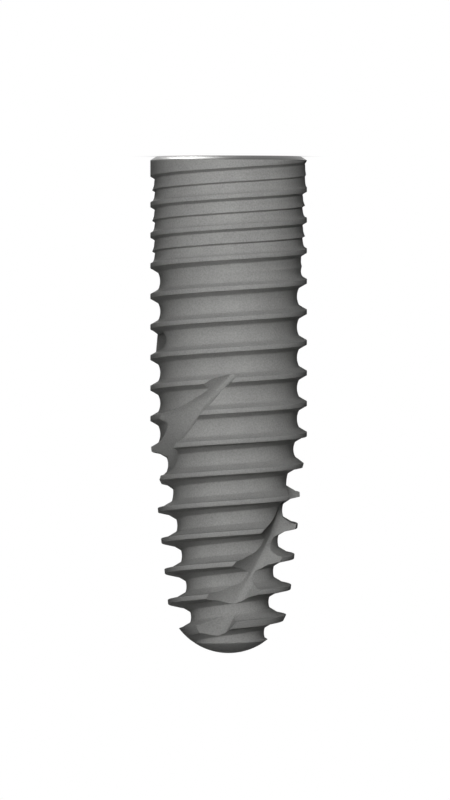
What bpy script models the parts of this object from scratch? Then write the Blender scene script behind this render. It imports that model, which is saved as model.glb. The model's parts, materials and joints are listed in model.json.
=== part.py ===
"""Bone-level dental implant, a self-tapping titanium screw turned and milled from one bar.

It stands on its platform, the flat ring that a tooth's abutment seats on, with its apex up.
z runs from the platform at 0 to the apex, in metres.
"""

import bpy
import bmesh
from math import asin, cos, hypot, pi, radians, sin, sqrt, tan, tau

MM = 0.001

# Body, from the platform to the apex
LENGTH = 13.0 * MM
CREST_RADIUS = 2.05 * MM
APEX_BALL_RADIUS = 1.63 * MM

# Platform edge and plain collar
PLATFORM_BEVEL_WIDTH = 0.16 * MM
PLATFORM_BEVEL_HEIGHT = 0.10 * MM
COLLAR_HEIGHT = 0.25 * MM
COLLAR_RUN_OUT = 0.37 * MM

# Thread, single start, right-handed
PITCH = 0.80 * MM
FIRST_CREST = 0.465 * MM
CREST_WIDTH = 0.123 * MM
FLANK_ANGLE = radians(30)
CORE_RADIUS = 1.79 * MM
ROOT_HOLLOW = 0.056 * MM

# Neck, where a finer ridge runs half a pitch behind the main crest
NECK_ROOT_RADIUS = 1.951 * MM
NECK_RIDGE_RADIUS = 2.00 * MM
NECK_FLANK_DEPTH = 0.055 * MM
NECK_END = 2.50 * MM
NECK_RUN_OUT = 0.85 * MM

# Taper towards the apex, where the thread grows deeper and its crest becomes a blade
CREST_TAPER_LENGTH = 5.57 * MM
CREST_TAPER = 0.1086
CORE_TAPER_LENGTH = 5.70 * MM
CORE_TAPER = 0.1497
CORE_STEP = 0.092 * MM
BLADE_ANGLE = radians(11)
FLANK_HEIGHT_PLATFORM_SIDE = 0.25 * MM
FLANK_HEIGHT_APEX_SIDE = 0.20 * MM
APEX_ROOT_HOLLOW = 0.026 * MM

# Land left standing in one groove where the thread cutter was lifted over
LAND_ANGLE = radians(0)
LAND_HALF_ANGLE = radians(28)
LAND_START = 4.62 * MM
LAND_END = 5.18 * MM
LAND_START_RADIUS = 1.85 * MM
LAND_END_RADIUS = 1.91 * MM
LAND_EDGE_SHARE = 0.40

# Two cutting flutes, half a turn apart, that wind with the thread
FLUTE_COUNT = 2
FLUTE_LEAD = 12.3 * MM
FLUTE_LENGTH = 7.28 * MM
FLUTE_START_ANGLE = radians(-98.5)
FLUTE_START_FLOOR = 1.825 * MM
FLUTE_SLOPE = 0.135
FLUTE_RUN_IN_SLOPE = 0.55
FLUTE_FLOOR_TILT = radians(4)
FLUTE_RAKE = radians(14)
FLUTE_CORNER_RADIUS = 0.28 * MM
FLUTE_HOLLOW_RADIUS = 3.0 * MM
FLUTE_REACH = 1.30 * MM

# Socket that the abutment and its screw enter by
SOCKET_MOUTH_RADIUS = 1.60 * MM
SOCKET_MOUTH_DEPTH = 0.36 * MM
HEX_ACROSS_FLATS = 2.50 * MM
HEX_DEPTH = 2.00 * MM
SCREW_BORE_RADIUS = 0.80 * MM
SCREW_BORE_DEPTH = 6.00 * MM
DRILL_POINT_ANGLE = radians(118)

# Facets of the model
COLUMNS = 36
CAP_RINGS = 4
FLUTE_STATIONS = 36
FLOOR_STEPS = 4
CORNER_STEPS = 3
BORE_SIDES = 24
CLEAR = 0.50 * MM
MIN_STEP = 0.006 * MM
SHARP_ANGLE = radians(25)

TITANIUM_COLOUR = (0.32, 0.32, 0.31, 1.0)

CREST_TAPER_START = LENGTH - CREST_TAPER_LENGTH
CORE_TAPER_START = LENGTH - CORE_TAPER_LENGTH
FLUTE_START = LENGTH - FLUTE_LENGTH


def mix(a, b, share):
    return a + (b - a) * share


def ramp(value, start, length):
    """0 up to start, 1 from start + length, and a smooth step between."""
    share = min(max((value - start) / length, 0.0), 1.0)
    return share * share * (3 - 2 * share)


# Radii along the axis. A groove is cut parallel to it, so its floor's is the one at its middle.

def crest_radius(z):
    return CREST_RADIUS - CREST_TAPER * max(0.0, z - CREST_TAPER_START)


def core_radius(z):
    step = CORE_STEP * ramp(z, CORE_TAPER_START, PITCH)
    return CORE_RADIUS - CORE_TAPER * max(0.0, z - CORE_TAPER_START) - step


def dome_radius(z):
    rise = max(0.0, z - (LENGTH - APEX_BALL_RADIUS))
    return sqrt(max(0.0, APEX_BALL_RADIUS ** 2 - rise ** 2)) if rise else LENGTH


def neck_share(groove):
    return 1.0 - ramp(groove, NECK_END, NECK_RUN_OUT)


def root_radius(across, groove):
    """Radius of a groove's floor, across it from 0 at one flank's foot to 1 at the other's."""
    hollow = mix(ROOT_HOLLOW, APEX_ROOT_HOLLOW, ramp(groove, CORE_TAPER_START, 2 * PITCH))
    threaded = core_radius(groove) + hollow * (2 * across - 1) ** 2
    ridge = NECK_RIDGE_RADIUS if 0.25 < across < 0.75 else CREST_RADIUS - NECK_FLANK_DEPTH
    rise = (ridge - NECK_ROOT_RADIUS) * (4 * min(across, 1 - across) - 1) ** 2
    return mix(threaded, NECK_ROOT_RADIUS + rise, neck_share(groove))


def land_radius(angle, z):
    """Radius of the land in the groove, or 0 beside it."""
    along = (z - LAND_START) / (LAND_END - LAND_START)
    across = (angle - LAND_ANGLE + pi) % tau - pi
    reach = hypot(across / LAND_HALF_ANGLE, 2 * along - 1)
    if reach >= 1 or not 0 <= along <= 1:
        return 0.0
    top = mix(LAND_START_RADIUS, LAND_END_RADIUS, along)
    return mix(CORE_RADIUS, top, ramp(1 - reach, 0.0, LAND_EDGE_SHARE))


# Section of one turn of the thread, as (row, z, radius) points

def flank_rows(crest, side):
    """Crest edge, knee of the blade and foot of the flank on one side of a crest."""
    edge = crest + side * CREST_WIDTH / 2
    top = crest_radius(edge)
    foot = root_radius(0, crest + side * PITCH / 2)
    height = FLANK_HEIGHT_APEX_SIDE if side > 0 else FLANK_HEIGHT_PLATFORM_SIDE
    knee = max(0.0, top - foot - height)
    rows = [(0, edge, top)]
    if knee < MIN_STEP:
        knee = 0.0
    else:
        rows.append((1, edge + side * knee * tan(BLADE_ANGLE), top - knee))
    reach = knee * tan(BLADE_ANGLE) + (top - knee - foot) * tan(FLANK_ANGLE)
    rows.append((2, edge + side * reach, foot))
    return rows


def turn_rows(crest):
    """The rows from one crest's apex-side edge to the next crest's platform-side edge."""
    near = flank_rows(crest, 1)
    far = flank_rows(crest + PITCH, -1)
    groove = crest + PITCH / 2
    rows = [(row * 0.1, z, radius) for row, z, radius in near]
    for number in (3, 4, 5):
        across = (number - 2) / 4
        if number == 4 or groove < CORE_TAPER_START + PITCH:
            z = mix(near[-1][1], far[-1][1], across)
            rows.append((number * 0.1, z, root_radius(across, groove)))
    rows += [(0.8 - row * 0.1, z, radius) for row, z, radius in reversed(far)]
    return rows


def column_rows(angle):
    """Every row of the threaded length at one angle, clipped by the collar and the apex ball."""
    rows = []
    for turn in range(-2, int(LENGTH / PITCH) + 1):
        crest = FIRST_CREST + PITCH * (turn + angle / tau)
        for row, z, radius in turn_rows(crest):
            if COLLAR_HEIGHT + MIN_STEP < z < DOME_START - MIN_STEP:
                cut = crest_radius(z) - radius
                radius = crest_radius(z) - cut * ramp(z, COLLAR_HEIGHT, COLLAR_RUN_OUT)
                radius = max(radius, land_radius(angle, z))
                rows.append((turn + row, z, radius))
    return clip_to_dome(rows)


def dome_crossing(low, high):
    """Point where the line from low to high passes through the apex ball."""
    for _ in range(30):
        middle = ((low[0] + high[0]) / 2, (low[1] + high[1]) / 2)
        if (middle[1] > dome_radius(middle[0])) == (low[1] > dome_radius(low[0])):
            low = middle
        else:
            high = middle
    return low


def clip_to_dome(rows):
    clipped = []
    for here, after in zip(rows, rows[1:] + rows[-1:]):
        clipped.append((here[0], here[1], min(here[2], dome_radius(here[1]))))
        outside = here[2] > dome_radius(here[1])
        if outside != (after[2] > dome_radius(after[1])):
            z, radius = dome_crossing(here[1:], after[1:])
            if min(z - here[1], after[1] - z) > MIN_STEP:
                clipped.append(((here[0] + after[0]) / 2, z, radius))
    return clipped


def find_dome_start():
    """Height at which the apex ball meets the thread's core."""
    low, high = LENGTH - APEX_BALL_RADIUS, LENGTH
    for _ in range(40):
        middle = (low + high) / 2
        if dome_radius(middle) > core_radius(middle):
            low = middle
        else:
            high = middle
    return low


DOME_START = find_dome_start()


# The outside. Points with the same row number are joined between columns, and those below and
# above the thread are numbered apart from its own.

BOTTOM_ROW = -1000
TOP_ROW = 1000


def join_columns(bm, left, right):
    """Fills the strip between two columns of (row, vertex) pairs."""
    i = j = 0
    while i < len(left) - 1 or j < len(right) - 1:
        next_left = left[i + 1][0] if i < len(left) - 1 else TOP_ROW + 1
        next_right = right[j + 1][0] if j < len(right) - 1 else TOP_ROW + 1
        corners = [left[i][1], right[j][1]]
        if next_right <= next_left + 1e-6:
            j += 1
            corners.append(right[j][1])
        if next_left <= next_right + 1e-6:
            i += 1
            corners.append(left[i][1])
        if len(corners) == 4 and corners[2] is corners[3]:
            corners.pop()
        bm.faces.new(corners)


def body_columns(bm):
    """Columns of vertices up the outside, each from the platform's edge to the apex."""
    apex = bm.verts.new((0, 0, LENGTH))
    cap_angle = asin(dome_radius(DOME_START) / APEX_BALL_RADIUS)
    columns = []
    for number in range(COLUMNS):
        angle = tau * number / COLUMNS
        profile = [(BOTTOM_ROW, 0.0, CREST_RADIUS - PLATFORM_BEVEL_WIDTH),
                   (BOTTOM_ROW + 1, PLATFORM_BEVEL_HEIGHT, CREST_RADIUS)]
        profile += column_rows(angle)
        for ring in range(CAP_RINGS):
            polar = cap_angle * (1 - ring / CAP_RINGS)
            height = LENGTH - APEX_BALL_RADIUS * (1 - cos(polar))
            profile.append((TOP_ROW - CAP_RINGS + ring, height, APEX_BALL_RADIUS * sin(polar)))
        column = [(row, bm.verts.new((radius * cos(angle), radius * sin(angle), z)))
                  for row, z, radius in profile]
        columns.append(column + [(TOP_ROW, apex)])
    return columns


def threaded_body():
    bm = bmesh.new()
    columns = body_columns(bm)
    for left, right in zip(columns, columns[1:]):
        join_columns(bm, left, right)
    wrapped = [(row - 1 if BOTTOM_ROW + 1 < row < TOP_ROW - CAP_RINGS else row, vertex)
               for row, vertex in columns[0]]
    join_columns(bm, columns[-1], wrapped)
    bm.faces.new([column[0][1] for column in reversed(columns)])
    bmesh.ops.triangulate(bm, faces=[f for f in bm.faces if len(f.verts) == 4])
    return finish_mesh(bm, "implant_body")


# Cutters

def flute_floor(z):
    """Least distance of the flute's floor from the axis."""
    run_in = FLUTE_RUN_IN_SLOPE * max(0.0, FLUTE_START - z)
    return FLUTE_START_FLOOR + run_in - FLUTE_SLOPE * max(0.0, z - FLUTE_START)


def flute_section(z):
    """Outline of the flute across the axis, as (outward, sideways) from its floor's normal."""
    floor = flute_floor(z)
    outer = CREST_RADIUS + CLEAR
    edge = -crest_radius(z) * sin(FLUTE_FLOOR_TILT)
    corner = edge + (crest_radius(z) - floor) * tan(FLUTE_RAKE)
    turn = pi / 2 - FLUTE_RAKE
    centre = (floor + FLUTE_CORNER_RADIUS, corner + FLUTE_CORNER_RADIUS * tan(turn / 2))
    points = [(outer, FLUTE_REACH)]
    for step in range(FLOOR_STEPS):
        sideways = mix(FLUTE_REACH, centre[1], step / FLOOR_STEPS)
        hollow = (sideways - centre[1]) ** 2 / (2 * FLUTE_HOLLOW_RADIUS)
        points.append((floor + hollow, sideways))
    for step in range(CORNER_STEPS + 1):
        bend = turn * step / CORNER_STEPS
        points.append((centre[0] - FLUTE_CORNER_RADIUS * cos(bend),
                       centre[1] - FLUTE_CORNER_RADIUS * sin(bend)))
    points.append((outer, corner - (outer - floor) * tan(FLUTE_RAKE)))
    return points


def flute_cutter(number):
    """A milling cut's swept shape: flutes of like section, turned as they go up."""
    bm = bmesh.new()
    start = FLUTE_START - (CREST_RADIUS + CLEAR / 2 - FLUTE_START_FLOOR) / FLUTE_RUN_IN_SLOPE
    end = LENGTH + CLEAR
    rings = []
    for station in range(FLUTE_STATIONS + 1):
        z = mix(start, end, station / FLUTE_STATIONS)
        turns = (z - FLUTE_START) / FLUTE_LEAD + number / FLUTE_COUNT
        turned = FLUTE_START_ANGLE + FLUTE_FLOOR_TILT + tau * turns
        ring = []
        for outward, sideways in flute_section(z):
            x = outward * cos(turned) - sideways * sin(turned)
            y = outward * sin(turned) + sideways * cos(turned)
            ring.append(bm.verts.new((x, y, z)))
        rings.append(ring)
    for low, high in zip(rings, rings[1:]):
        for k in range(len(low)):
            after = (k + 1) % len(low)
            bm.faces.new((low[k], low[after], high[after], high[k]))
    bm.faces.new(reversed(rings[0]))
    bm.faces.new(rings[-1])
    bmesh.ops.triangulate(bm, faces=bm.faces[:])
    bmesh.ops.recalc_face_normals(bm, faces=bm.faces[:])
    return finish_mesh(bm, f"flute_cutter_{number + 1}")


def upright_cone(name, sides, low, low_radius, high, high_radius):
    """A cone or prism about the axis, between two heights."""
    bm = bmesh.new()
    bmesh.ops.create_cone(bm, cap_ends=True, segments=sides, radius1=low_radius,
                          radius2=high_radius, depth=high - low)
    bmesh.ops.translate(bm, verts=bm.verts, vec=(0, 0, (low + high) / 2))
    return finish_mesh(bm, name)


def bore_cutter():
    """The drilled hole for the abutment's screw, with the drill's pointed end."""
    point = SCREW_BORE_RADIUS / tan(DRILL_POINT_ANGLE / 2)
    bm = bmesh.new()
    bmesh.ops.create_cone(bm, cap_ends=True, segments=BORE_SIDES, radius1=SCREW_BORE_RADIUS,
                          radius2=SCREW_BORE_RADIUS, depth=SCREW_BORE_DEPTH + CLEAR)
    bmesh.ops.translate(bm, verts=bm.verts, vec=(0, 0, (SCREW_BORE_DEPTH - CLEAR) / 2))
    end = max(bm.faces, key=lambda face: face.calc_center_median().z)
    bmesh.ops.poke(bm, faces=[end])
    tip = max(bm.verts, key=lambda vertex: (round(vertex.co.z, 7), -hypot(*vertex.co.xy)))
    tip.co.z += point
    return finish_mesh(bm, "bore_cutter")


def finish_mesh(bm, name):
    mesh = bpy.data.meshes.new(name)
    bm.to_mesh(mesh)
    bm.free()
    return bpy.data.objects.new(name, mesh)


# Scene

def titanium():
    material = bpy.data.materials.new("blasted_titanium")
    material.use_nodes = True
    shader = material.node_tree.nodes["Principled BSDF"]
    shader.inputs["Base Color"].default_value = TITANIUM_COLOUR
    shader.inputs["Metallic"].default_value = 1.0
    shader.inputs["Roughness"].default_value = 0.6
    return material


def socket_cutters():
    mouth_end = SOCKET_MOUTH_RADIUS - SOCKET_MOUTH_DEPTH
    mouth = upright_cone("mouth_cutter", COLUMNS, -CLEAR, SOCKET_MOUTH_RADIUS + CLEAR,
                         SOCKET_MOUTH_DEPTH, mouth_end)
    hexagon = upright_cone("hex_cutter", 6, -CLEAR, HEX_ACROSS_FLATS / sqrt(3),
                           HEX_DEPTH, HEX_ACROSS_FLATS / sqrt(3))
    return [mouth, hexagon, bore_cutter()]


def build():
    for old in list(bpy.data.objects):
        bpy.data.objects.remove(old)
    parts = bpy.data.collections.new("dental_implant")
    cutters = bpy.data.collections.new("cutters")
    bpy.context.scene.collection.children.link(parts)
    bpy.context.scene.collection.children.link(cutters)

    body = threaded_body()
    body.data.materials.append(titanium())
    parts.objects.link(body)
    for cutter in [flute_cutter(n) for n in range(FLUTE_COUNT)] + socket_cutters():
        cutter.hide_render = True
        cutter.display_type = "WIRE"
        cutters.objects.link(cutter)
        cut = body.modifiers.new(cutter.name, "BOOLEAN")
        cut.operation = "DIFFERENCE"
        cut.solver = "EXACT"
        cut.object = cutter
    body.data.shade_smooth()
    body.data.set_sharp_from_angle(angle=SHARP_ANGLE)


build()
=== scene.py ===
import json
from math import asin, cos, hypot, pi, radians, sin, sqrt, tan, tau

import bmesh
import bpy
from mathutils import Matrix, Vector

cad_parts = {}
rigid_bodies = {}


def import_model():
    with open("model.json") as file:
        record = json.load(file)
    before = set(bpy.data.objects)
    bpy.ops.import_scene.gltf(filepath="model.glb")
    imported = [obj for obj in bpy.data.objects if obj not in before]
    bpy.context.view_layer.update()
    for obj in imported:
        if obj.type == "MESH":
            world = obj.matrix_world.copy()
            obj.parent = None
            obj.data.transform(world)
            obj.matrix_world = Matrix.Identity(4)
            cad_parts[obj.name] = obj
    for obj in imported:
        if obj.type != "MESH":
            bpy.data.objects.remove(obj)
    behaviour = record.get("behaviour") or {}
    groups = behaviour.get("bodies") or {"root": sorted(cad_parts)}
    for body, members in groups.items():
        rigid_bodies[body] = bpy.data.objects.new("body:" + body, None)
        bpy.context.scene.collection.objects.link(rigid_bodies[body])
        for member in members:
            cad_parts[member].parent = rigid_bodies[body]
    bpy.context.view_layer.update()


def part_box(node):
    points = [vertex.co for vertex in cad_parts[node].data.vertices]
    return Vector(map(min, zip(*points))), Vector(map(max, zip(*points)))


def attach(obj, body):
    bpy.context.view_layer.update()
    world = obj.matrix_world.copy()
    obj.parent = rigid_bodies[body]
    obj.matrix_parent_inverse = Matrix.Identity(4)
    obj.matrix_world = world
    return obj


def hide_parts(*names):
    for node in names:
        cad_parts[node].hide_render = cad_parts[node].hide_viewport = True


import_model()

# Camera. A long lens looks level at the implant. The implant stands on its platform with its
# apex up, and the picture has it the other way up, so the camera is turned over.

MM = 0.001
PICTURE_HEIGHT = 20.94 * MM
PICTURE_CENTRE = Vector((0.095, 0.0, 6.375)) * MM
CAMERA_DISTANCE = 0.55
CAMERA_ELEVATION = radians(0.1)
SENSOR = 36.0
CLIP_START = 0.1
CLIP_END = 20.0

camera = bpy.data.objects.new("camera", bpy.data.cameras.new("camera"))
camera.data.sensor_width = SENSOR
camera.data.lens = SENSOR * CAMERA_DISTANCE / PICTURE_HEIGHT
camera.data.clip_start = CLIP_START
camera.data.clip_end = CLIP_END
away = Vector((0.0, -cos(CAMERA_ELEVATION), sin(CAMERA_ELEVATION)))
turned_over = Matrix.Rotation(pi / 2 - CAMERA_ELEVATION, 4, "X") @ Matrix.Rotation(pi, 4, "Z")
camera.matrix_world = Matrix.Translation(PICTURE_CENTRE + away * CAMERA_DISTANCE) @ turned_over
bpy.context.scene.collection.objects.link(camera)
bpy.context.scene.camera = camera

# Thread. The body is turned from a titanium bar in one clamping: a neck with a fine ridge
# between its shallow threads, then a single right-hand thread that grows deeper towards the apex
# as the core tapers away faster than the crest. Lengths are in millimetres, from the platform up.

cad_low, cad_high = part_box("implant_body")
CREST_RADIUS = round(cad_high[0] / MM, 3)
LENGTH = round(cad_high[2] / MM, 3)
APEX_BALL_RADIUS = 1.63
PITCH = 0.80
FIRST_CREST = 0.465
CREST_WIDTH = 0.123
FLANK_ANGLE = radians(30)
CORE_RADIUS = 1.79
ROOT_HOLLOW = 0.056
NECK_ROOT_RADIUS = 1.951
NECK_RIDGE_RADIUS = 2.00
NECK_FLANK_DEPTHS = {-1: 0.055, 1: 0.118}
NECK_FLANK_ANGLE = radians(32)
NECK_FOOT_BEND = 2.6
RIDGE_HALF_WIDTH = 0.25
RIDGE_BEND = 1.3
RIDGE_DROP = 0.075
RIDGE_DIP = 0.020
RIDGE_DIP_END = 0.36
NECK_END = 2.50
NECK_RUN_OUT = 0.85
CREST_TAPER_START = LENGTH - 5.57
CREST_TAPER = 0.1086
CORE_TAPER_START = LENGTH - 5.70
CORE_TAPER = 0.1497
CORE_STEP = 0.092
BLADE_ANGLE = radians(11)
FLANK_HEIGHTS = {-1: 0.25, 1: 0.20}
APEX_ROOT_HOLLOW = 0.026
LEAST_KNEE = 0.016
EDGE_ROUND = 0.016
FOOT_ROUND = 0.035
MOST_ROUND_SHARE = 0.45

# Rows of points, as shares of a turn, so that each finds the same row in the next column
THREAD_FLOOR = (0.08, 0.20, 0.35, 0.5, 0.65, 0.80, 0.92)
NECK_FLOOR = (0.06, 0.13, 0.20, 0.28, 0.36, 0.43, 0.475, 0.5,
              0.52, 0.545, 0.575, 0.65, 0.73, 0.81, 0.88, 0.94)
FLOOR_ROWS = (0.35, 0.65)
NEAR_ROWS = {1: 0.05, 2: 0.15, 3: 0.25}
FAR_ROWS = {3: 0.69, 2: 0.79, 1: 0.89}
ROW_STEP = 0.03


def mix(a, b, share):
    return a + (b - a) * share


def ramp(value, start, length):
    """0 up to start, 1 from start + length, and a smooth rise between."""
    share = min(max((value - start) / length, 0.0), 1.0)
    return share * share * (3 - 2 * share)


def crest_radius(z):
    return CREST_RADIUS - CREST_TAPER * max(0.0, z - CREST_TAPER_START)


def core_radius(z):
    step = CORE_STEP * ramp(z, CORE_TAPER_START, PITCH)
    return CORE_RADIUS - CORE_TAPER * max(0.0, z - CORE_TAPER_START) - step


def dome_radius(z):
    rise = z - (LENGTH - APEX_BALL_RADIUS)
    return LENGTH if rise <= 0 else sqrt(max(0.0, APEX_BALL_RADIUS ** 2 - rise ** 2))


def root_radius(across, groove):
    """Radius of a groove's floor, across it from 0 at one flank's foot to 1 at the other's."""
    hollow = mix(ROOT_HOLLOW, APEX_ROOT_HOLLOW, ramp(groove, CORE_TAPER_START, 2 * PITCH))
    threaded = core_radius(groove) + hollow * (2 * across - 1) ** 2
    blunt = ramp(groove, NECK_END, NECK_RUN_OUT / 2)
    past = across - 0.5
    if abs(past) < RIDGE_HALF_WIDTH:
        drop = mix(RIDGE_DROP, RIDGE_HALF_WIDTH, blunt)
        share = 1 + past / RIDGE_HALF_WIDTH if past <= 0 else max(0.0, 1 - past / drop)
        rise = (NECK_RIDGE_RADIUS - NECK_ROOT_RADIUS) * share ** RIDGE_BEND
    else:
        foot = CREST_RADIUS - NECK_FLANK_DEPTHS[1 if past < 0 else -1]
        share = (abs(past) - RIDGE_HALF_WIDTH) / (0.5 - RIDGE_HALF_WIDTH)
        rise = (foot - NECK_ROOT_RADIUS) * share ** NECK_FOOT_BEND
    if 0 < past < RIDGE_DIP_END:
        dip = min(past / RIDGE_DROP, (RIDGE_DIP_END - past) / (RIDGE_DIP_END - RIDGE_DROP))
        rise -= RIDGE_DIP * (1 - blunt) * dip
    return mix(NECK_ROOT_RADIUS + rise, threaded, ramp(groove, NECK_END, NECK_RUN_OUT))


def round_corner(before, corner, after, reach):
    """Three points in place of a corner of the section."""
    points = []
    for end in (before, after):
        length = hypot(end[0] - corner[0], end[1] - corner[1])
        share = min(reach / length, MOST_ROUND_SHARE)
        points.append((mix(corner[0], end[0], share), mix(corner[1], end[1], share)))
    middle = [(points[0][k] + 2 * corner[k] + points[1][k]) / 4 for k in (0, 1)]
    return [points[0], tuple(middle), points[1]]


def flank(crest, side):
    """Middle of the crest, its edge, the blade's knee and the flank's foot, as (z, radius)."""
    edge = crest + side * CREST_WIDTH / 2
    top = crest_radius(edge)
    foot = root_radius(0 if side > 0 else 1, crest + side * PITCH / 2)
    neck_angle = NECK_FLANK_ANGLE if side > 0 else FLANK_ANGLE
    angle = mix(neck_angle, FLANK_ANGLE, ramp(crest, NECK_END, NECK_RUN_OUT))
    knee = max(LEAST_KNEE, top - foot - FLANK_HEIGHTS[side])
    knee_z = edge + side * knee * tan(BLADE_ANGLE)
    foot_z = knee_z + side * (top - knee - foot) * tan(angle)
    return [(crest, crest_radius(crest)), (edge, top), (knee_z, top - knee), (foot_z, foot)]


def turn_section(crest):
    """One turn's section from the middle of a crest to just before the next, as (row, z, radius)."""
    near = flank(crest, 1)
    far = flank(crest + PITCH, -1)
    groove = crest + PITCH / 2
    shares = NECK_FLOOR if groove < NECK_END + NECK_RUN_OUT else THREAD_FLOOR
    floor = [(mix(*FLOOR_ROWS, a), mix(near[3][0], far[3][0], a), root_radius(a, groove))
             for a in shares]
    rows = [(0.0, *near[0])]
    corners = [(1, EDGE_ROUND), (2, EDGE_ROUND), (3, FOOT_ROUND)]
    for number, reach in corners:
        after = near[number + 1] if number < 3 else floor[0][1:]
        for k, point in enumerate(round_corner(near[number - 1], near[number], after, reach)):
            rows.append((NEAR_ROWS[number] + k * ROW_STEP, *point))
    rows += floor
    for number, reach in reversed(corners):
        before = far[number + 1] if number < 3 else floor[-1][1:]
        for k, point in enumerate(round_corner(before, far[number], far[number - 1], reach)):
            rows.append((FAR_ROWS[number] + k * ROW_STEP, *point))
    return rows


# Land. In one groove the thread cutter was lifted over a short stretch and left a low pad
# standing there. Its two flat faces show as a straight piece of outline between two turns.

LAND_ANGLE = radians(14)
LAND_HALF_ANGLE = radians(37)
LAND_FACE_ANGLE = radians(26.7)
LAND_START = 4.57
LAND_END = 5.22
LAND_START_RADIUS = 1.912
LAND_END_RADIUS = 1.972
LAND_BOW = 0.72


def with_land(angle, z, radius):
    """Radius with the land's two flat faces, which end in a bowed step down from the groove."""
    across = (angle - LAND_ANGLE + pi) % tau - pi
    along = (z - PITCH * across / tau - LAND_START) / (LAND_END - LAND_START)
    across = abs(across)
    if not 0 <= along <= 1 or across > LAND_HALF_ANGLE * sqrt(1 - (LAND_BOW * (2 * along - 1)) ** 2):
        return radius
    top = mix(LAND_START_RADIUS, LAND_END_RADIUS, along)
    face = top * cos(LAND_FACE_ANGLE) / cos(across - LAND_FACE_ANGLE)
    return face if radius <= CORE_RADIUS + ROOT_HOLLOW else max(radius, face)


# Ends of the body. The platform's edge is bevelled below a plain collar, where the first ridge
# runs in, and a ball-shaped apex cuts off the last turns. Columns of points round the axis are
# joined row by row into one closed shell.

PLATFORM_BEVEL_WIDTH = 0.16
PLATFORM_BEVEL_HEIGHT = 0.10
COLLAR_HEIGHT = 0.15
THREAD_RUN_IN_START = -0.75
THREAD_RUN_IN_TURNS = 0.55
COLUMNS = 180
CAP_RINGS = 28
LEAST_STEP = 0.003
HALVINGS = 30
BOTTOM_ROW = -1000
BEVEL_ROW_STEP = 0.3
TOP_ROW = 1000
SAME_ROW = 1e-6


def dome_crossing(low, high):
    """Point where the line from low to high passes through the apex ball."""
    for _ in range(HALVINGS):
        middle = ((low[0] + high[0]) / 2, (low[1] + high[1]) / 2)
        if (middle[1] > dome_radius(middle[0])) == (low[1] > dome_radius(low[0])):
            low = middle
        else:
            high = middle
    return low


dome_start, too_high = LENGTH - APEX_BALL_RADIUS, LENGTH
for _ in range(HALVINGS):
    halfway = (dome_start + too_high) / 2
    if dome_radius(halfway) > core_radius(halfway):
        dome_start = halfway
    else:
        too_high = halfway


def column_rows(angle):
    """Every row of the threaded length at one angle, clipped by the collar and the apex ball."""
    rows = []
    for turn in range(-2, int(LENGTH / PITCH) + 1):
        turns = turn + angle / tau
        run_in = ramp(turns, THREAD_RUN_IN_START, THREAD_RUN_IN_TURNS)
        for row, z, radius in turn_section(FIRST_CREST + PITCH * turns):
            if COLLAR_HEIGHT + LEAST_STEP < z < dome_start - LEAST_STEP:
                cut = (crest_radius(z) - radius) * run_in
                rows.append((turn + row, z, with_land(angle, z, crest_radius(z) - cut)))
    clipped = []
    for here, after in zip(rows, rows[1:] + rows[-1:]):
        clipped.append((here[0], here[1], min(here[2], dome_radius(here[1]))))
        outside = here[2] > dome_radius(here[1])
        if outside != (after[2] > dome_radius(after[1])):
            z, radius = dome_crossing(here[1:], after[1:])
            if min(z - here[1], after[1] - z) > LEAST_STEP:
                clipped.append(((here[0] + after[0]) / 2, z, radius))
    return clipped


def join_columns(bm, left, right):
    """Fills the strip between two columns of (row, vertex) pairs, row by row."""
    i = j = 0
    while i < len(left) - 1 or j < len(right) - 1:
        next_left = left[i + 1][0] if i < len(left) - 1 else TOP_ROW + 1
        next_right = right[j + 1][0] if j < len(right) - 1 else TOP_ROW + 1
        corners = [left[i][1], right[j][1]]
        if next_right <= next_left + SAME_ROW:
            j += 1
            corners.append(right[j][1])
        if next_left <= next_right + SAME_ROW:
            i += 1
            corners.append(left[i][1])
        if len(corners) == 4 and corners[2] is corners[3]:
            corners.pop()
        bm.faces.new(corners)


def wrap_columns(bm, columns, last_thread_row):
    """Joins each column to the next, and the last to the first one turn further on."""
    for left, right in zip(columns, columns[1:]):
        join_columns(bm, left, right)
    again = [(row - 1 if BOTTOM_ROW + 1 < row < last_thread_row else row, vertex)
             for row, vertex in columns[0]]
    join_columns(bm, columns[-1], again)


bm = bmesh.new()
apex = bm.verts.new((0, 0, LENGTH * MM))
cap_angle = asin(dome_radius(dome_start) / APEX_BALL_RADIUS)
columns = []
platform_edge = (0.0, CREST_RADIUS - PLATFORM_BEVEL_WIDTH)
bevel_top = (PLATFORM_BEVEL_HEIGHT, CREST_RADIUS)
collar_top = (COLLAR_HEIGHT, CREST_RADIUS)
for number in range(COLUMNS):
    angle = tau * number / COLUMNS
    profile = [(BOTTOM_ROW, *platform_edge)]
    for k, point in enumerate(round_corner(platform_edge, bevel_top, collar_top, EDGE_ROUND)):
        profile.append((BOTTOM_ROW + BEVEL_ROW_STEP * (k + 1), *point))
    profile += column_rows(angle)
    for ring in range(CAP_RINGS):
        polar = cap_angle * (1 - ring / CAP_RINGS)
        height = LENGTH - APEX_BALL_RADIUS * (1 - cos(polar))
        profile.append((TOP_ROW - CAP_RINGS + ring, height, APEX_BALL_RADIUS * sin(polar)))
    column = [(row, bm.verts.new(Vector((r * cos(angle), r * sin(angle), z)) * MM))
              for row, z, r in profile]
    columns.append(column + [(TOP_ROW, apex)])
wrap_columns(bm, columns, TOP_ROW - CAP_RINGS)
bm.faces.new([column[0][1] for column in reversed(columns)])
body = bpy.data.objects.new("implant_shell", bpy.data.meshes.new("implant_shell"))
bm.to_mesh(body.data)
bm.free()
bpy.context.scene.collection.objects.link(body)

# Cutting flutes. Two slots are milled through the threads with a round-cornered cutter, half a
# turn apart, and wind with the thread to the apex. Each leaves a hollow floor, a rounded corner
# and a raked wall whose outer edge cuts the bone.

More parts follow.
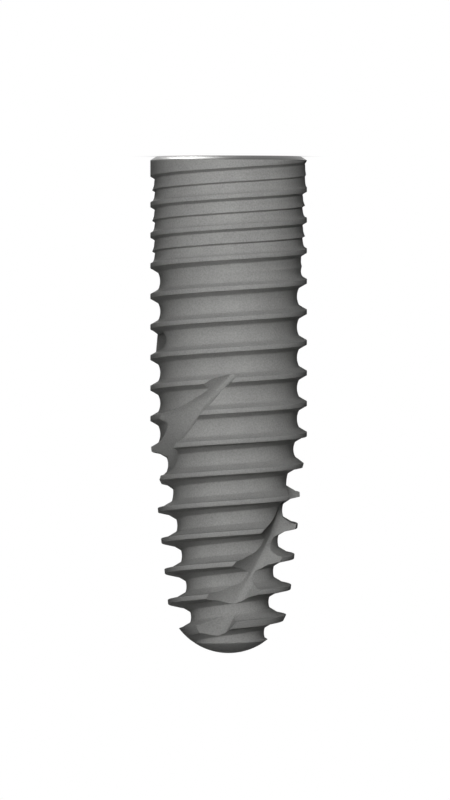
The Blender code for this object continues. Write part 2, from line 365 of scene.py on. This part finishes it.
FLUTE_COUNT = 2
FLUTE_LEAD = 13.0
FLUTE_START = LENGTH - 6.65
FLUTE_START_ANGLE = radians(-79.85)
FLUTE_START_FLOOR = 1.61
FLUTE_SLOPE = 0.108
FLUTE_RUN_IN_SLOPE = 0.40
FLUTE_BANK_SLOPE = 0.40
FLUTE_BANK_RUN_OUT = 0.80
FLUTE_FLOOR_TILT = radians(4)
FLUTE_RAKE = radians(14)
FLUTE_STRIP_WIDTH = 0.19
FLUTE_STRIP_ANGLE = radians(33)
FLUTE_CORNER_ROUND = 0.03
FLUTE_HOLLOW_RADIUS = 3.8
FLUTE_REACH = 1.30
FLUTE_STATIONS = 150
FLOOR_STEPS = 12
CLEAR = 0.50

cutters = bpy.data.collections.new("cutters")
bpy.context.scene.collection.children.link(cutters)


def add_cutter(bm, name):
    bmesh.ops.recalc_face_normals(bm, faces=bm.faces[:])
    mesh = bpy.data.meshes.new(name)
    bm.to_mesh(mesh)
    bm.free()
    cutters.objects.link(bpy.data.objects.new(name, mesh))


def flute_section(z):
    """Outline of the flute across the axis, as (outward, sideways) from its floor's normal."""
    run_in = FLUTE_RUN_IN_SLOPE * max(0.0, FLUTE_START - z)
    floor = FLUTE_START_FLOOR + run_in - FLUTE_SLOPE * max(0.0, z - FLUTE_START)
    outer = CREST_RADIUS + CLEAR
    edge = -crest_radius(z) * sin(FLUTE_FLOOR_TILT)
    foot = floor + FLUTE_STRIP_WIDTH * sin(FLUTE_STRIP_ANGLE)
    wall_foot = (foot, edge + (crest_radius(z) - foot) * tan(FLUTE_RAKE))
    floor_end = (floor, wall_foot[1] + FLUTE_STRIP_WIDTH * cos(FLUTE_STRIP_ANGLE))
    wall_top = (outer, edge - (outer - crest_radius(z)) * tan(FLUTE_RAKE))
    bank = FLUTE_BANK_SLOPE * (1 - ramp(z, FLUTE_START - FLUTE_BANK_RUN_OUT / 2, FLUTE_BANK_RUN_OUT))
    points = [(outer, FLUTE_REACH)]
    for step in range(FLOOR_STEPS):
        sideways = mix(FLUTE_REACH, floor_end[1], step / FLOOR_STEPS)
        reach = sideways - floor_end[1]
        rise = bank * reach + reach ** 2 / (2 * FLUTE_HOLLOW_RADIUS)
        points.append((min(floor + rise, outer - LEAST_STEP), sideways))
    points += round_corner(points[-1], floor_end, wall_foot, FLUTE_CORNER_ROUND)
    points += round_corner(floor_end, wall_foot, wall_top, FLUTE_CORNER_ROUND)
    return points + [wall_top]


for number in range(FLUTE_COUNT):
    bm = bmesh.new()
    low = FLUTE_START - (CREST_RADIUS + CLEAR / 2 - FLUTE_START_FLOOR) / FLUTE_RUN_IN_SLOPE
    rings = []
    for station in range(FLUTE_STATIONS + 1):
        z = mix(low, LENGTH + CLEAR, station / FLUTE_STATIONS)
        turns = (z - FLUTE_START) / FLUTE_LEAD + number / FLUTE_COUNT
        turned = FLUTE_START_ANGLE + FLUTE_FLOOR_TILT + tau * turns
        across = Matrix.Rotation(turned, 3, "Z")
        rings.append([bm.verts.new((across @ Vector((out, side, z))) * MM)
                      for out, side in flute_section(z)])
    for below, above in zip(rings, rings[1:]):
        for k in range(len(below)):
            after = (k + 1) % len(below)
            bm.faces.new((below[k], below[after], above[after], above[k]))
    bm.faces.new(reversed(rings[0]))
    bm.faces.new(rings[-1])
    bmesh.ops.triangulate(bm, faces=bm.faces[:])
    add_cutter(bm, f"flute_cutter_{number + 1}")

# Socket. A cone leads into a broached hexagon that keeps the abutment from turning, and below it
# the screw's bore is drilled and tapped with a fine right-hand thread. All of it is machined
# into the same bar and left bright.

SOCKET_MOUTH_RADIUS = 1.60
SOCKET_MOUTH_DEPTH = 0.36
MOUTH_SIDES = 96
HEX_ACROSS_FLATS = 2.50
HEX_DEPTH = 2.00
HEX_CORNER_RADIUS = 0.12
HEX_CORNER_STEPS = 5
SCREW_BORE_RADIUS = 0.80
SCREW_BORE_DEPTH = 6.00
SCREW_PITCH = 0.35
SCREW_THREAD_DEPTH = 0.13
SCREW_THREAD_START = HEX_DEPTH + 0.35
SCREW_THREAD_END = 5.40
SCREW_SECTION = ((0.0, 0.0), (0.3, 1.0), (0.45, 1.0), (0.75, 0.0))
SCREW_COLUMNS = 60
DRILL_POINT_ANGLE = radians(118)

bm = bmesh.new()
bmesh.ops.create_cone(bm, cap_ends=True, segments=MOUTH_SIDES,
                      radius1=(SOCKET_MOUTH_RADIUS + CLEAR) * MM,
                      radius2=(SOCKET_MOUTH_RADIUS - SOCKET_MOUTH_DEPTH) * MM,
                      depth=(SOCKET_MOUTH_DEPTH + CLEAR) * MM)
bmesh.ops.translate(bm, verts=bm.verts, vec=(0, 0, (SOCKET_MOUTH_DEPTH - CLEAR) / 2 * MM))
add_cutter(bm, "mouth_cutter")

bm = bmesh.new()
outline = []
for corner in range(6):
    towards = tau * corner / 6
    centre = (HEX_ACROSS_FLATS / 2 - HEX_CORNER_RADIUS) / cos(pi / 6)
    for step in range(HEX_CORNER_STEPS + 1):
        bend = towards + pi / 3 * (step / HEX_CORNER_STEPS - 0.5)
        outline.append((centre * cos(towards) + HEX_CORNER_RADIUS * cos(bend),
                        centre * sin(towards) + HEX_CORNER_RADIUS * sin(bend)))
ends = [[bm.verts.new((x * MM, y * MM, z * MM)) for x, y in outline] for z in (-CLEAR, HEX_DEPTH)]
for k in range(len(outline)):
    after = (k + 1) % len(outline)
    bm.faces.new((ends[0][k], ends[0][after], ends[1][after], ends[1][k]))
bm.faces.new(reversed(ends[0]))
bm.faces.new(ends[1])
add_cutter(bm, "hex_cutter")

bm = bmesh.new()
tip = bm.verts.new((0, 0, (SCREW_BORE_DEPTH + SCREW_BORE_RADIUS / tan(DRILL_POINT_ANGLE / 2)) * MM))
screw_columns = []
for number in range(SCREW_COLUMNS):
    angle = tau * number / SCREW_COLUMNS
    profile = [(BOTTOM_ROW, -CLEAR, SCREW_BORE_RADIUS), (BOTTOM_ROW + 1, HEX_DEPTH, SCREW_BORE_RADIUS)]
    for turn in range(-2, int(LENGTH / SCREW_PITCH)):
        for row, share in SCREW_SECTION:
            z = SCREW_THREAD_START + SCREW_PITCH * (turn + row + angle / tau)
            if SCREW_THREAD_START < z < SCREW_THREAD_END:
                depth = SCREW_THREAD_DEPTH * share
                depth *= ramp(z, SCREW_THREAD_START, SCREW_PITCH / 2)
                depth *= 1 - ramp(z, SCREW_THREAD_END - SCREW_PITCH, SCREW_PITCH)
                profile.append((turn + row, z, SCREW_BORE_RADIUS + depth))
    profile.append((TOP_ROW - 1, SCREW_BORE_DEPTH, SCREW_BORE_RADIUS))
    column = [(row, bm.verts.new(Vector((r * cos(angle), r * sin(angle), z)) * MM))
              for row, z, r in profile]
    screw_columns.append(column + [(TOP_ROW, tip)])
wrap_columns(bm, screw_columns, TOP_ROW - 1)
bm.faces.new([column[0][1] for column in reversed(screw_columns)])
add_cutter(bm, "bore_cutter")

for cutter in cutters.objects:
    cut = body.modifiers.new(cutter.name, "BOOLEAN")
    cut.operation = "DIFFERENCE"
    cut.solver = "EXACT"
    cut.object = cutter
bpy.context.view_layer.update()
cut_mesh = bpy.data.meshes.new_from_object(body.evaluated_get(bpy.context.evaluated_depsgraph_get()))
bpy.data.objects.remove(body)
for cutter in list(cutters.objects):
    bpy.data.objects.remove(cutter)
bpy.data.collections.remove(cutters)
implant = bpy.data.objects.new("implant_finished", cut_mesh)
bpy.context.scene.collection.objects.link(implant)

# Blasted skin. The outside is blasted with grit and then etched, which leaves an even matt grey
# with a fine pitted grain and faint cloudy patches, and no machining marks. It is hardly metal
# to the eye, and a glossier one would turn white in this white room.

SKIN_COLOURS = ((0.262, 0.262, 0.256, 1.0), (0.385, 0.385, 0.376, 1.0))
SKIN_METALLIC = 0.01
SKIN_ROUGHNESS = (0.50, 0.68)
PIT_SIZE = 0.028 * MM
PIT_DEPTH = 0.004 * MM
PIT_SOFTNESS = 0.6
CLOUD_SIZE = 0.9 * MM
CLOUD_SHARE = 0.45
SHADE_RANGE = (0.45, 1.0)

grain = bpy.data.node_groups.new("pitted_grain", "ShaderNodeTree")
grain.interface.new_socket("Size", in_out="INPUT", socket_type="NodeSocketFloat")
grain.interface.new_socket("Height", in_out="OUTPUT", socket_type="NodeSocketFloat")
grain.interface.new_socket("Shade", in_out="OUTPUT", socket_type="NodeSocketFloat")


def add_node(tree, kind, settings=None, **inputs):
    """A node with its properties set, and inputs set or linked by name or as _0, _1 by number."""
    node = tree.nodes.new(kind)
    for name, value in (settings or {}).items():
        setattr(node, name, value)
    for name, value in inputs.items():
        socket = node.inputs[int(name[1:])] if name[0] == "_" else node.inputs[name.replace("_", " ")]
        if isinstance(value, bpy.types.NodeSocket):
            tree.links.new(value, socket)
        else:
            socket.default_value = value
    return node


group_in = add_node(grain, "NodeGroupInput")
place = add_node(grain, "ShaderNodeTexCoord")
scale = add_node(grain, "ShaderNodeMath", {"operation": "DIVIDE"}, _0=1.0, _1=group_in.outputs["Size"])
spread = add_node(grain, "ShaderNodeVectorMath", {"operation": "SCALE"}, Vector=place.outputs["Object"])
grain.links.new(scale.outputs[0], spread.inputs["Scale"])
pits = add_node(grain, "ShaderNodeTexVoronoi", {"feature": "SMOOTH_F1"}, Vector=spread.outputs[0],
                Scale=1.0, Smoothness=PIT_SOFTNESS)
rough = add_node(grain, "ShaderNodeTexNoise", Vector=spread.outputs[0], Scale=0.7, Detail=4.0,
                 Roughness=0.6)
both = add_node(grain, "ShaderNodeMath", {"operation": "ADD"}, _0=pits.outputs["Distance"],
                _1=rough.outputs[0])
group_out = add_node(grain, "NodeGroupOutput")
grain.links.new(both.outputs[0], group_out.inputs["Height"])
grain.links.new(rough.outputs[0], group_out.inputs["Shade"])

skin = bpy.data.materials.new("blasted_titanium")
skin.use_nodes = True
tree = skin.node_tree
shader = tree.nodes["Principled BSDF"]
shader.inputs["Metallic"].default_value = SKIN_METALLIC
shader.inputs["Specular IOR Level"].default_value = 0.0
pitted = add_node(tree, "ShaderNodeGroup", {"node_tree": grain}, Size=PIT_SIZE)
clouds = add_node(tree, "ShaderNodeTexNoise", Scale=1 / CLOUD_SIZE, Detail=3.0)
object_place = add_node(tree, "ShaderNodeTexCoord")
tree.links.new(object_place.outputs["Object"], clouds.inputs["Vector"])
shade = add_node(tree, "ShaderNodeMath", {"operation": "MULTIPLY_ADD"}, _0=clouds.outputs[0],
                 _1=CLOUD_SHARE, _2=pitted.outputs["Shade"])
spread_shade = add_node(tree, "ShaderNodeMapRange", Value=shade.outputs[0])
spread_shade.inputs["From Min"].default_value, spread_shade.inputs["From Max"].default_value = SHADE_RANGE
colour = add_node(tree, "ShaderNodeMix", {"data_type": "RGBA"}, _0=spread_shade.outputs[0])
colour.inputs[6].default_value, colour.inputs[7].default_value = SKIN_COLOURS
tree.links.new(colour.outputs[2], shader.inputs["Base Color"])
gloss = add_node(tree, "ShaderNodeMapRange", Value=pitted.outputs["Height"])
gloss.inputs["To Min"].default_value, gloss.inputs["To Max"].default_value = SKIN_ROUGHNESS
tree.links.new(gloss.outputs[0], shader.inputs["Roughness"])
relief = add_node(tree, "ShaderNodeBump", Strength=0.5, Distance=PIT_DEPTH,
                  Height=pitted.outputs["Height"])
tree.links.new(relief.outputs[0], shader.inputs["Normal"])

# Machined metal. The platform, its bevel and the socket are left as the tool cut them: bright,
# with fine rings about the axis, because the abutment has to seal against them.

TURNED_COLOURS = ((0.135, 0.135, 0.132, 1.0), (0.15, 0.15, 0.147, 1.0))
TURNED_ROUGHNESS = (0.30, 0.42)
RING_WIDTH = 0.012 * MM
RING_DEPTH = 0.001 * MM
FINISH_MARGIN = 0.06
SOCKET_EDGE_RADIUS = SOCKET_MOUTH_RADIUS + FINISH_MARGIN
BORE_EDGE_RADIUS = SCREW_BORE_RADIUS + 2 * SCREW_THREAD_DEPTH
BEVEL_SHARE = 0.99
BEVEL_FACING = -0.3
SHARP_ANGLE = radians(35)

turned = bpy.data.materials.new("machined_titanium")
turned.use_nodes = True
tree = turned.node_tree
shader = tree.nodes["Principled BSDF"]
shader.inputs["Metallic"].default_value = 1.0
place = add_node(tree, "ShaderNodeTexCoord")
parts = add_node(tree, "ShaderNodeSeparateXYZ", Vector=place.outputs["Object"])
flat_place = add_node(tree, "ShaderNodeCombineXYZ", X=parts.outputs["X"], Y=parts.outputs["Y"])
reach = add_node(tree, "ShaderNodeVectorMath", {"operation": "LENGTH"}, _0=flat_place.outputs[0])
along = add_node(tree, "ShaderNodeMath", {"operation": "ADD"}, _0=reach.outputs["Value"],
                 _1=parts.outputs["Z"])
ring_place = add_node(tree, "ShaderNodeMath", {"operation": "DIVIDE"}, _0=along.outputs[0], _1=RING_WIDTH)
rings = add_node(tree, "ShaderNodeTexNoise", {"noise_dimensions": "1D"}, W=ring_place.outputs[0],
                 Scale=1.0, Detail=2.0)
stained = add_node(tree, "ShaderNodeMix", {"data_type": "RGBA"}, _0=rings.outputs[0])
stained.inputs[6].default_value, stained.inputs[7].default_value = TURNED_COLOURS
tree.links.new(stained.outputs[2], shader.inputs["Base Color"])
gloss = add_node(tree, "ShaderNodeMapRange", Value=rings.outputs[0])
gloss.inputs["To Min"].default_value, gloss.inputs["To Max"].default_value = TURNED_ROUGHNESS
tree.links.new(gloss.outputs[0], shader.inputs["Roughness"])
relief = add_node(tree, "ShaderNodeBump", Strength=0.3, Distance=RING_DEPTH, Height=rings.outputs[0])
tree.links.new(relief.outputs[0], shader.inputs["Normal"])

implant.data.materials.clear()
implant.data.materials.append(skin)
implant.data.materials.append(turned)
for face in implant.data.polygons:
    x, y, z = face.center / MM
    in_socket = hypot(x, y) < SOCKET_EDGE_RADIUS and z < SCREW_THREAD_START
    in_bore = hypot(x, y) < BORE_EDGE_RADIUS and z < SCREW_BORE_DEPTH + SCREW_BORE_RADIUS
    on_platform = z < PLATFORM_BEVEL_HEIGHT * BEVEL_SHARE and face.normal.z < BEVEL_FACING
    if in_socket or in_bore or on_platform:
        face.material_index = 1
implant.data.shade_smooth()
implant.data.set_sharp_from_angle(angle=SHARP_ANGLE)
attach(implant, "root")
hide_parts("implant_body")

# Floor and light. A wide frosted sheet, as on a light table, lets the low lamps through. Its white
# is darkened round the foot by an occlusion mask, a painted shadow. A close strip lamp and a soft
# one stand in front, two wide ones behind and above, and a slim one low at the back catches the bevel.

FLOOR_COLOUR = (0.25, 0.25, 0.25, 1.0)
FLOOR_SIZE = 6.0
FLOOR_PAINTED_SHADOW_SHARE = 0.30
FLOOR_PAINTED_SHADOW_REACH = 0.6 * MM
FLOOR_PAINTED_SHADOW_SAMPLES = 8
ROOM_LIGHT = 0.005
WHITE = (1.0, 1.0, 1.0, 1.0)


def seen_by_lens(tree):
    """1 for what the camera sees, also in reflections and through glass."""
    path = add_node(tree, "ShaderNodeLightPath")
    seen = add_node(tree, "ShaderNodeMath", {"operation": "MAXIMUM"},
                    _0=path.outputs["Is Camera Ray"], _1=path.outputs["Is Glossy Ray"])
    seen = add_node(tree, "ShaderNodeMath", {"operation": "MAXIMUM"},
                    _0=seen.outputs[0], _1=path.outputs["Is Transmission Ray"])
    return seen.outputs[0]


floor = bpy.data.objects.new("floor", bpy.data.meshes.new("floor"))
half = FLOOR_SIZE / 2
floor.data.from_pydata([(-half, -half, 0), (half, -half, 0), (half, half, 0), (-half, half, 0)],
                       [], [(0, 1, 2, 3)])
floor.visible_shadow = False
bpy.context.scene.collection.objects.link(floor)
floor_paint = bpy.data.materials.new("floor_paint")
floor_paint.use_nodes = True
tree = floor_paint.node_tree
tree.nodes.clear()
matt = add_node(tree, "ShaderNodeBsdfDiffuse", Color=FLOOR_COLOUR)
white = add_node(tree, "ShaderNodeEmission", Color=WHITE, Strength=1.0)
# Painted shadow: near the implant an occlusion mask mixes the white towards the matt floor, whatever the
# lamps do.
open_sky = add_node(tree, "ShaderNodeAmbientOcclusion", {"samples": FLOOR_PAINTED_SHADOW_SAMPLES},
                    Distance=FLOOR_PAINTED_SHADOW_REACH)
painted_shadow_mask = add_node(tree, "ShaderNodeMapRange", Value=open_sky.outputs["AO"])
painted_shadow_mask.inputs["To Min"].default_value = 1 - FLOOR_PAINTED_SHADOW_SHARE
share = add_node(tree, "ShaderNodeMath", {"operation": "MULTIPLY"}, _0=seen_by_lens(tree),
                 _1=painted_shadow_mask.outputs[0])
shown = add_node(tree, "ShaderNodeMixShader", _0=share.outputs[0], _1=matt.outputs[0],
                 _2=white.outputs[0])
add_node(tree, "ShaderNodeOutputMaterial", Surface=shown.outputs[0])
floor.data.materials.append(floor_paint)

world = bpy.data.worlds.new("room")
bpy.context.scene.world = world
world.use_nodes = True
tree = world.node_tree
tree.nodes.clear()
room = add_node(tree, "ShaderNodeBackground", Color=WHITE, Strength=ROOM_LIGHT)
white = add_node(tree, "ShaderNodeBackground", Color=WHITE, Strength=1.0)
shown = add_node(tree, "ShaderNodeMixShader", _0=seen_by_lens(tree), _1=room.outputs[0],
                 _2=white.outputs[0])
add_node(tree, "ShaderNodeOutputWorld", Surface=shown.outputs[0])

for name, azimuth, elevation, distance, width, height, spread, watts in (
    ("strip_lamp", -1, -16, 9 * MM, 4 * MM, 26 * MM, 90, 0.00023),
    ("front_lamp", -3, -12, 400 * MM, 140 * MM, 140 * MM, 180, 0.67),
    ("back_lamp", 180, 15, 400 * MM, 360 * MM, 320 * MM, 180, 0.9),
    ("top_lamp", 180, 75, 400 * MM, 300 * MM, 300 * MM, 180, 0.07),
    ("bevel_lamp", 200, -49, 400 * MM, 50 * MM, 150 * MM, 180, 0.65),
):
    lamp = bpy.data.objects.new(name, bpy.data.lights.new(name, "AREA"))
    lamp.data.shape = "RECTANGLE"
    lamp.data.size = width
    lamp.data.size_y = height
    lamp.data.spread = radians(spread)
    lamp.data.energy = watts
    lamp.visible_camera = False
    # Only rays aimed at a lamp pass through the floor, so all of its light is left to them.
    lamp.data.cycles.use_multiple_importance_sampling = False
    a, e = radians(azimuth), radians(elevation)
    towards_lamp = Vector((-sin(a) * cos(e), -cos(a) * cos(e), sin(e)))
    sideways = Vector((cos(a), -sin(a), 0.0))
    turned_in = Matrix((sideways, towards_lamp.cross(sideways), towards_lamp)).transposed().to_4x4()
    lamp.matrix_world = Matrix.Translation(PICTURE_CENTRE + towards_lamp * distance) @ turned_in
    bpy.context.scene.collection.objects.link(lamp)

bpy.context.scene.view_settings.view_transform = "Standard"
